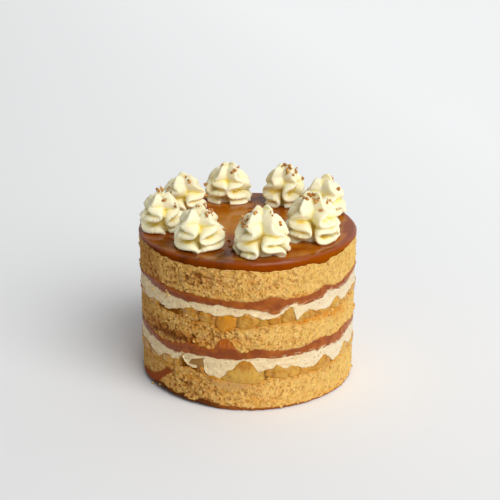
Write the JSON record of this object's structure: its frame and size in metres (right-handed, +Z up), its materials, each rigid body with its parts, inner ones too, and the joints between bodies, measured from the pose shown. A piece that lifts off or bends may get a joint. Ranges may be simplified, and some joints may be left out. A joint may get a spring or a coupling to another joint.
{
  "type": "naked layer cake",
  "caption": "Tall round naked cake with apple, cream and caramel fillings, a caramel glaze and a ring of piped cream rosettes with crumbs.",
  "frame": {"origin": "middle of the flat underside", "axes": "+Z up; -Y faces the viewer of the picture, +X to the right"},
  "size_m": [0.1526, 0.1538, 0.1388],
  "materials": {
    "sponge": "open crumb, matt golden brown",
    "apple": "cooked apple in gel, moist and translucent",
    "cream": "whipped filling with fine holes",
    "caramel": "soft thick caramel, half gloss",
    "glaze": "poured caramel, smooth and glossy",
    "buttercream": "piped pale cream, soft sheen"
  },
  "bodies": {
    "root": {"sponge_bottom": "sponge", "apple_lower": "apple", "cream_lower": "cream", "caramel_lower": "caramel", "sponge_middle": "sponge", "apple_upper": "apple", "cream_upper": "cream", "caramel_upper": "caramel", "sponge_top": "sponge", "caramel_glaze": "glaze", "rosette_front_left": "buttercream", "rosette_front_middle": "buttercream", "rosette_right": "buttercream", "rosette_right_back": "buttercream", "rosette_back_right": "buttercream", "rosette_back_middle": "buttercream", "rosette_left_back": "buttercream", "rosette_left": "buttercream"}
  },
  "joints": []
}
